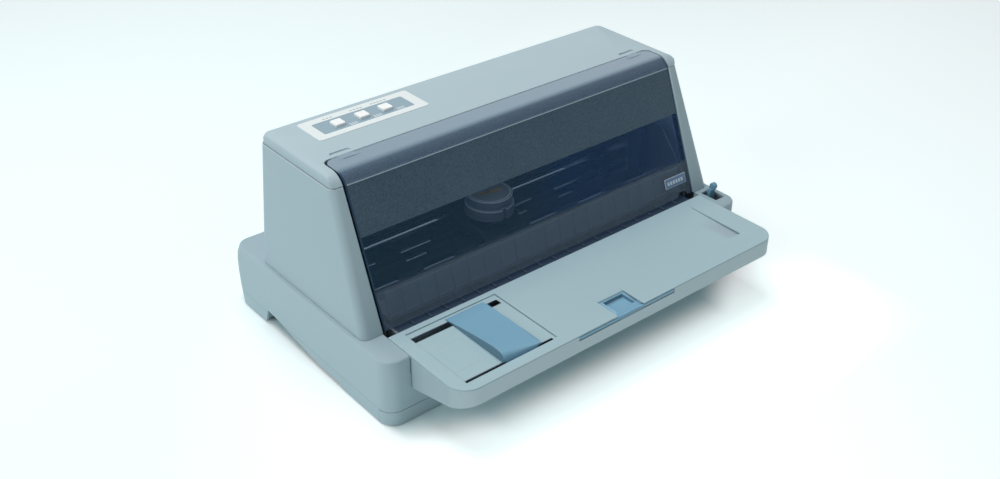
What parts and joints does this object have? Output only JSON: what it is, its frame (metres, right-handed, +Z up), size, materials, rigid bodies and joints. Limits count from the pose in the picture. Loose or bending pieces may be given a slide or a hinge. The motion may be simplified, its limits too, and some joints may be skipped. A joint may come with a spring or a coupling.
{
  "type": "dot matrix printer",
  "caption": "Flatbed dot matrix printer: sloped grey case, hinged smoked front cover, front feed tray with blue edge guide, and a control panel with square buttons.",
  "frame": {"origin": "on the floor under the middle of the printer, midway between the tray's front lip and the base's rear wall", "axes": "+X to the printer's right as seen from the front (along the platen), +Y from the tray to the rear wall, +Z up"},
  "size_m": [0.48, 0.36, 0.223],
  "materials": {
    "case": "fine matt texture, light bluish grey",
    "rubber": "matt black rubber",
    "steel": "ground and polished steel",
    "cover": "smoked transparent plastic with frosted bands",
    "badge": "bare light blue plate",
    "label": "satin printed film, white",
    "inset": "satin printed film, blue grey",
    "button": "satin white",
    "board": "green circuit board",
    "blue": "fine matt texture, grey blue",
    "black_plastic": "fine matt texture, black",
    "zinc": "zinc plated sheet",
    "brass": "turned",
    "head_black": "black anodised casting",
    "head_label": "printed label, bare yellow",
    "ribbon": "inked woven nylon",
    "knob_blue": "moulded blue",
    "roller_grey": "dark grey rubber on steel",
    "gear_white": "natural acetal",
    "motor": "plated can",
    "pulley": "turned",
    "cable": "flat flexible cable"
  },
  "bodies": {
    "case": {"bottom_pan": "case", "base_housing": "case", "upper_housing": "case", "top_cap": "case", "rear_cover": "case", "tray": "case", "tray_bottom": "case", "rubber_feet": "rubber", "timing_belt": "rubber", "case_screws": "steel", "cover_hinge_pins": "steel", "carriage_rod": "steel", "control_label": "label", "panel_inset": "inset", "button_board": "board", "main_board": "board", "power_board": "board", "front_paper_guide": "black_plastic", "rear_paper_guide": "black_plastic", "upper_paper_guide": "black_plastic", "ribbon_cartridge": "black_plastic", "power_inlet": "black_plastic", "side_frame_left": "zinc", "side_frame_right": "zinc", "front_rail": "zinc", "rear_beam": "zinc", "shaft_bushes": "brass", "ribbon": "ribbon", "feed_motor": "motor", "carriage_motor": "motor", "head_cable": "cable"},
    "cover": {"front_cover": "cover", "cover_badge": "badge"},
    "button_left": {"button_left": "button"},
    "button_middle": {"button_middle": "button"},
    "button_right": {"button_right": "button"},
    "extension": {"tray_extension": "blue"},
    "edge_guide": {"edge_guide": "blue"},
    "lever": {"release_lever": "blue", "lever_shaft": "steel"},
    "carriage": {"carriage": "black_plastic", "print_head": "head_black", "head_label": "head_label", "ribbon_guide": "black_plastic"},
    "ribbon_knob": {"ribbon_knob": "knob_blue"},
    "platen": {"platen_rubber": "rubber", "platen_shaft": "steel"},
    "front_feed": {"front_feed_roller": "rubber", "front_feed_shaft": "steel", "front_feed_gear": "gear_white"},
    "rear_feed": {"rear_feed_roller": "rubber", "rear_feed_shaft": "steel", "rear_feed_gear": "gear_white"},
    "front_pinch": {"front_pinch_rollers": "roller_grey"},
    "rear_pinch": {"rear_pinch_rollers": "roller_grey"},
    "idler": {"idler_gear": "gear_white"},
    "pinion": {"motor_pinion": "brass"},
    "drive_pulley": {"drive_pulley": "pulley"},
    "idler_pulley": {"idler_pulley": "pulley"},
    "rocker": {"power_switch": "black_plastic"}
  },
  "joints": [
    {"name": "cover_hinge", "type": "hinge", "parent": "case", "child": "cover", "pos_m": [0, 0.0335, 0.213], "axis": [-1, 0, 0], "range_deg": [0, 80]},
    {"name": "press_left", "type": "slide", "parent": "case", "child": "button_left", "axis": [0, 0, -1], "range_m": [0, 0.001], "stiffness_N_per_m": 400, "springref_m": -0.001},
    {"name": "press_middle", "type": "slide", "parent": "case", "child": "button_middle", "axis": [0, 0, -1], "range_m": [0, 0.001], "stiffness_N_per_m": 400, "springref_m": -0.001},
    {"name": "press_right", "type": "slide", "parent": "case", "child": "button_right", "axis": [0, 0, -1], "range_m": [0, 0.001], "stiffness_N_per_m": 400, "springref_m": -0.001},
    {"name": "extension_slide", "type": "slide", "parent": "case", "child": "extension", "axis": [0, -1, 0], "range_m": [0, 0.05]},
    {"name": "guide_slide", "type": "slide", "parent": "case", "child": "edge_guide", "axis": [1, 0, 0], "range_m": [-0.042, 0.012]},
    {"name": "lever_turn", "type": "hinge", "parent": "case", "child": "lever", "pos_m": [0.226, -0.074, 0.042], "axis": [1, 0, 0], "range_deg": [0, 18]},
    {"name": "carriage_slide", "type": "slide", "parent": "case", "child": "carriage", "axis": [1, 0, 0], "range_m": [-0.138, 0.182], "deforming": ["head_cable"]},
    {"name": "knob_turn", "type": "hinge", "parent": "case", "child": "ribbon_knob", "pos_m": [-0.12, 0.091, 0.14], "axis": [0, 0, 1], "continuous": true},
    {"name": "platen_turn", "type": "hinge", "parent": "case", "child": "platen", "pos_m": [0, 0.016, 0.065], "axis": [1, 0, 0], "continuous": true},
    {"name": "front_feed_turn", "type": "hinge", "parent": "case", "child": "front_feed", "pos_m": [0, -0.004, 0.068], "axis": [1, 0, 0], "continuous": true},
    {"name": "rear_feed_turn", "type": "hinge", "parent": "case", "child": "rear_feed", "pos_m": [0, 0.036, 0.068], "axis": [1, 0, 0], "continuous": true},
    {"name": "idler_turn", "type": "hinge", "parent": "case", "child": "idler", "pos_m": [0.212, 0.016, 0.05139], "axis": [1, 0, 0], "continuous": true},
    {"name": "pinion_turn", "type": "hinge", "parent": "case", "child": "pinion", "pos_m": [0.212, 0.02195, 0.02917], "axis": [1, 0, 0], "continuous": true},
    {"name": "front_pinch_turn", "type": "hinge", "parent": "case", "child": "front_pinch", "pos_m": [0, -0.004, 0.0811], "axis": [1, 0, 0], "continuous": true},
    {"name": "rear_pinch_turn", "type": "hinge", "parent": "case", "child": "rear_pinch", "pos_m": [0, 0.036, 0.0811], "axis": [1, 0, 0], "continuous": true},
    {"name": "drive_pulley_turn", "type": "hinge", "parent": "case", "child": "drive_pulley", "pos_m": [-0.185, 0.086, 0.097], "axis": [0, 0, 1], "continuous": true},
    {"name": "idler_pulley_turn", "type": "hinge", "parent": "case", "child": "idler_pulley", "pos_m": [0.185, 0.086, 0.097], "axis": [0, 0, 1], "continuous": true},
    {"name": "switch_rock", "type": "hinge", "parent": "case", "child": "rocker", "pos_m": [0.13, 0.174, 0.039], "axis": [-1, 0, 0], "range_deg": [0, 14]}
  ],
  "couplings": [
    {"joint": "rear_feed_turn", "follows": "front_feed_turn", "ratio": 1},
    {"joint": "idler_turn", "follows": "front_feed_turn", "ratio": -0.73333},
    {"joint": "pinion_turn", "follows": "front_feed_turn", "ratio": 1.375},
    {"joint": "front_pinch_turn", "follows": "front_feed_turn", "ratio": -1.6667},
    {"joint": "rear_pinch_turn", "follows": "front_feed_turn", "ratio": -1.6667},
    {"joint": "drive_pulley_turn", "follows": "carriage_slide", "rad_per_m": 111.11},
    {"joint": "idler_pulley_turn", "follows": "carriage_slide", "rad_per_m": 111.11}
  ]
}
